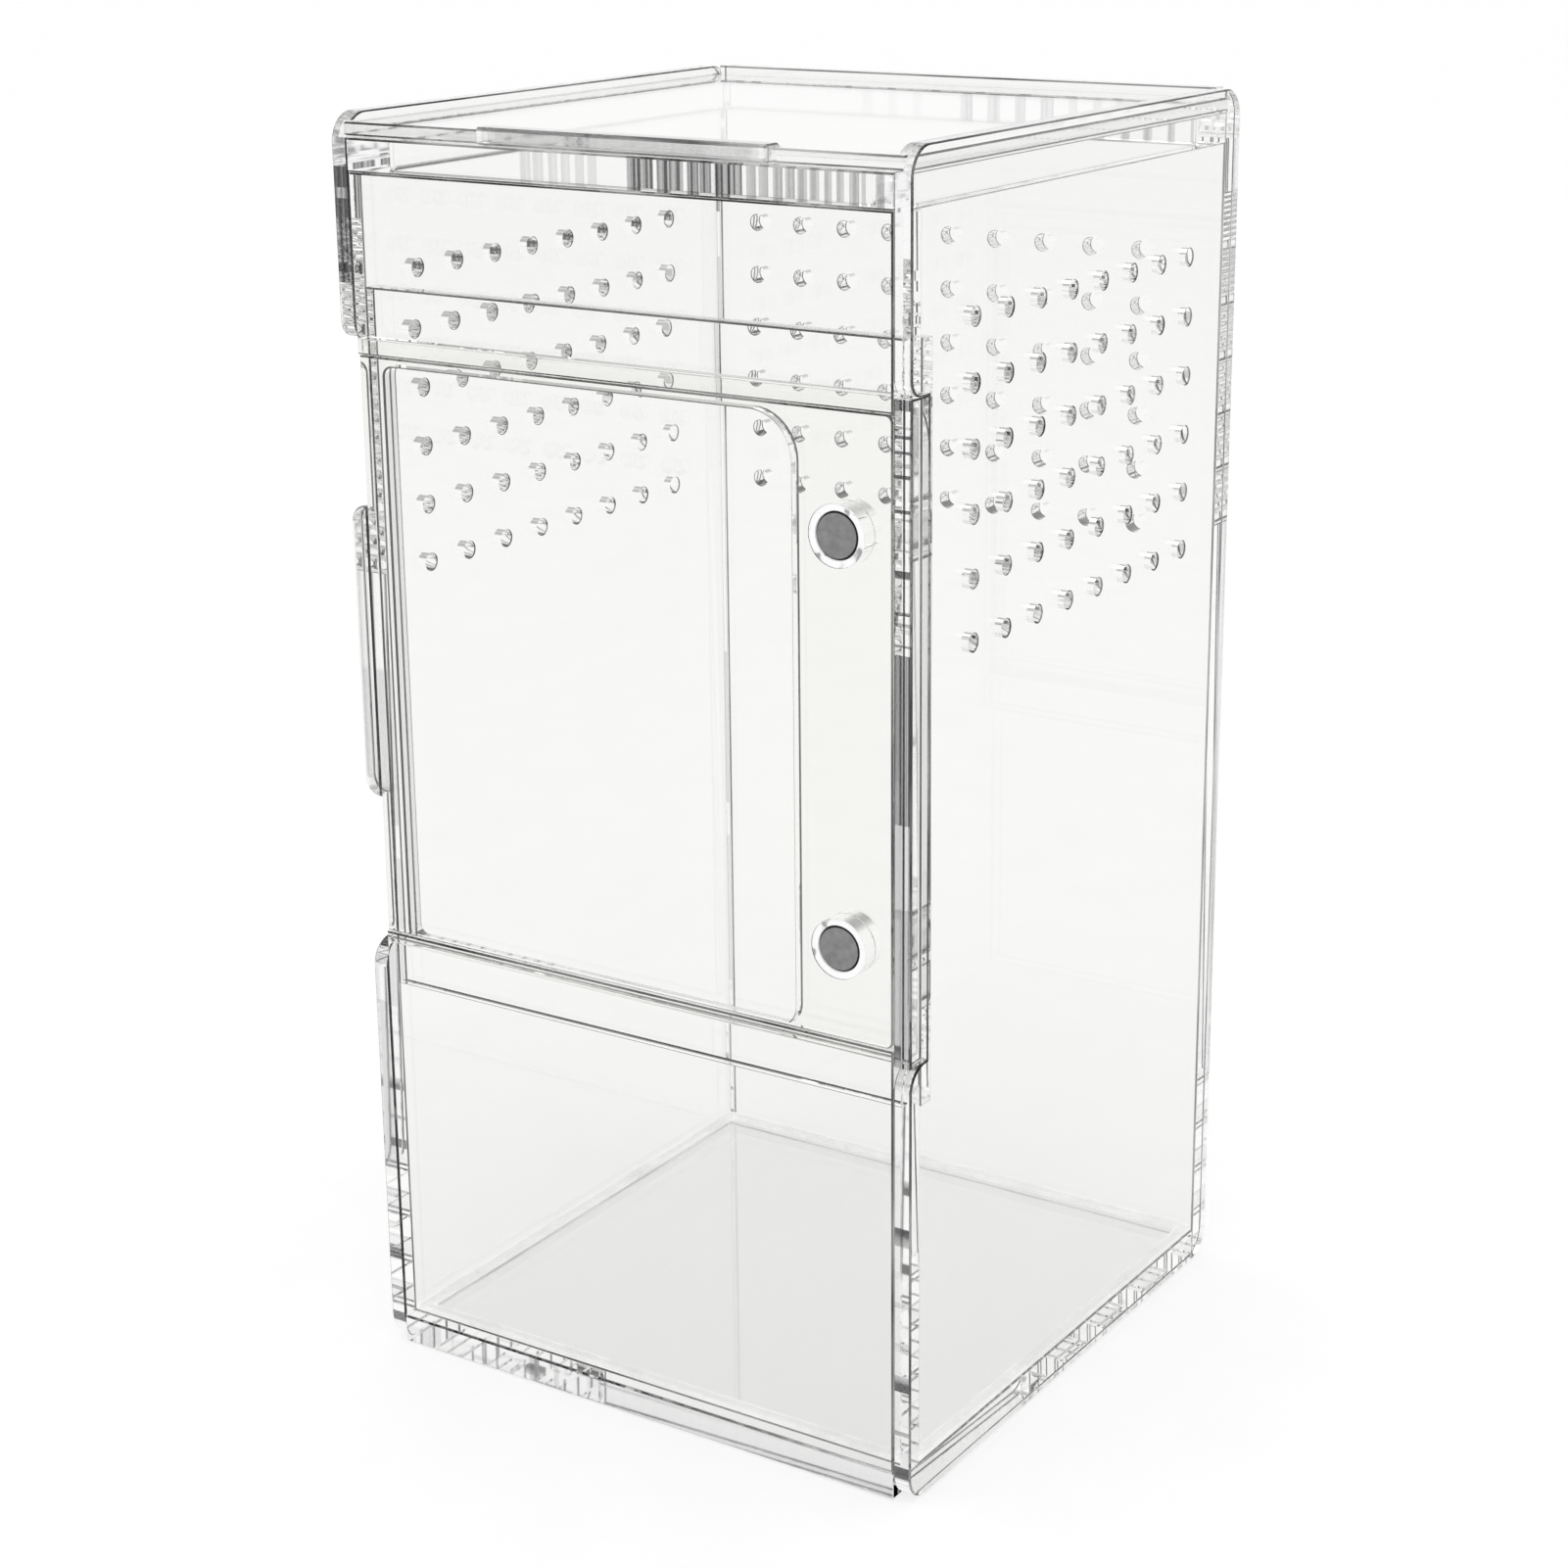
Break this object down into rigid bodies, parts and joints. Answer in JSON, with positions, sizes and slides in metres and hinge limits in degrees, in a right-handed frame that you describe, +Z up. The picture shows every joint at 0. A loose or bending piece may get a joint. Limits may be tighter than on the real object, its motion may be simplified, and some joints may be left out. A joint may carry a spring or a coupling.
{
  "type": "spider terrarium",
  "caption": "Tall clear box for a climbing spider, with vent holes, a magnetic front door that slides sideways and a lid that slides forward.",
  "frame": {"origin": "centre of the box's underside, on the surface that it stands on", "axes": "+X to the right and +Y to the back, seen from the door side; +Z up, along the longest side"},
  "size_m": [0.1, 0.1, 0.2],
  "materials": {
    "clear_acrylic": "clear cast acrylic sheet with polished faces and bright, finely ribbed cut edges",
    "magnet_plate": "dark nickel plate on disc magnets",
    "set_glue": "white set glue in a ring round each magnet"
  },
  "bodies": {
    "case": {"left_wall": "clear_acrylic", "right_wall": "clear_acrylic", "right_stop": "clear_acrylic", "back_wall": "clear_acrylic", "base": "clear_acrylic", "front_lower_panel": "clear_acrylic", "front_upper_panel": "clear_acrylic", "door_frame": "clear_acrylic", "top_frame": "clear_acrylic", "frame_magnet_lower": "magnet_plate", "frame_magnet_upper": "magnet_plate", "frame_glue_lower": "set_glue", "frame_glue_upper": "set_glue"},
    "door": {"door_panel": "clear_acrylic", "door_pull": "clear_acrylic", "door_magnet_lower": "magnet_plate", "door_magnet_upper": "magnet_plate", "door_glue_lower": "set_glue", "door_glue_upper": "set_glue"},
    "lid": {"lid_panel": "clear_acrylic", "lid_pull": "clear_acrylic"}
  },
  "joints": [
    {"name": "door_slide", "type": "slide", "parent": "case", "child": "door", "axis": [-1, 0, 0], "range_m": [0, 0.08]},
    {"name": "lid_slide", "type": "slide", "parent": "case", "child": "lid", "axis": [0, -1, 0], "range_m": [0, 0.085]}
  ]
}
